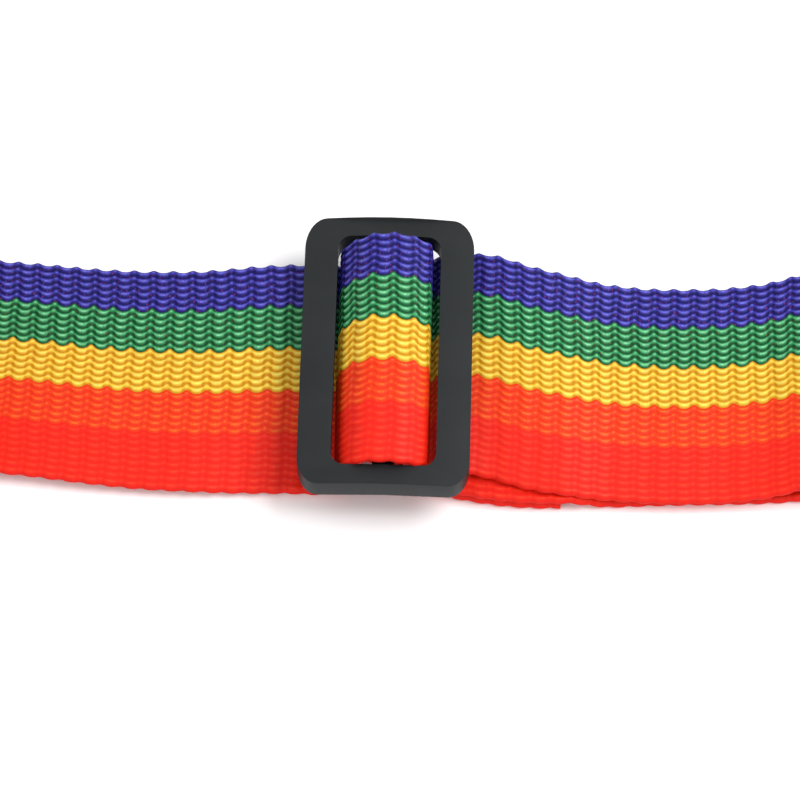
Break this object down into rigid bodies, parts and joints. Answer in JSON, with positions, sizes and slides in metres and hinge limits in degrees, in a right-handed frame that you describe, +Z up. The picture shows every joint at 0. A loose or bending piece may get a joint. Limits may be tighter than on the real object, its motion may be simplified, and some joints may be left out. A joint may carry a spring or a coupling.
{
  "type": "luggage strap",
  "caption": "Striped woven luggage strap with a flat slide adjuster and an open side-release buckle, laid out with its spare length rolled up.",
  "frame": {"origin": "on the surface that the strap lies on, under the middle of the whole strap's box", "axes": "+X along the webbing, from the socket half of the buckle to its plug half; +Y across the webbing, towards the indigo stripe; +Z up"},
  "size_m": [0.4314, 0.0632, 0.061],
  "materials": {
    "webbing": "heavy ribbed polypropylene weave in lengthwise stripes: indigo, green, yellow, orange and red",
    "thread": "twisted polyester sewing thread",
    "slider_plastic": "fine-textured black acetal with soft highlights",
    "buckle_plastic": "fine-textured black acetal with soft highlights"
  },
  "bodies": {
    "strap": {"web_roll": "webbing", "web_left_run": "webbing", "web_left_ramp": "webbing", "web_foot_run": "webbing", "web_socket_loop": "webbing", "seam_socket_end": "thread"},
    "slider": {"slider_frame": "slider_plastic", "web_weave": "webbing", "web_sewn_loop": "webbing", "web_upper_run": "webbing", "web_lower_run": "webbing", "seam_slider_end": "thread"},
    "plug_turn": {"web_plug_turn": "webbing"},
    "plug": {"plug_frame": "buckle_plastic"},
    "prong_far": {"prong_far": "buckle_plastic"},
    "prong_near": {"prong_near": "buckle_plastic"},
    "socket": {"socket_shell": "buckle_plastic"}
  },
  "joints": [
    {"name": "slider_slide", "type": "slide", "parent": "strap", "child": "slider", "axis": [1, 0, 0], "range_m": [-0.02, 0.02], "deforming": ["web_left_ramp"]},
    {"name": "plug_slide", "type": "slide", "parent": "slider", "child": "plug_turn", "axis": [1, 0, 0], "range_m": [-0.01, 0.01], "deforming": ["web_upper_run", "web_lower_run"]},
    {"name": "plug_fold", "type": "hinge", "parent": "plug_turn", "child": "plug", "pos_m": [0.16295, 0, 0.006], "axis": [0, -1, 0], "range_deg": [0, 85]},
    {"name": "prong_far_press", "type": "hinge", "parent": "plug", "child": "prong_far", "pos_m": [0.18205, 0.0224, 0.006], "axis": [0, 0, -1], "range_deg": [0, 12], "stiffness_Nm_per_rad": 0.3},
    {"name": "prong_near_press", "type": "hinge", "parent": "plug", "child": "prong_near", "pos_m": [0.18205, -0.0224, 0.006], "axis": [0, 0, 1], "range_deg": [0, 12], "stiffness_Nm_per_rad": 0.3},
    {"name": "socket_fold", "type": "hinge", "parent": "strap", "child": "socket", "pos_m": [-0.16745, 0, 0.006], "axis": [0, 1, 0], "range_deg": [0, 85]}
  ],
  "couplings": [
    {"joint": "plug_slide", "follows": "slider_slide", "ratio": -0.5}
  ]
}
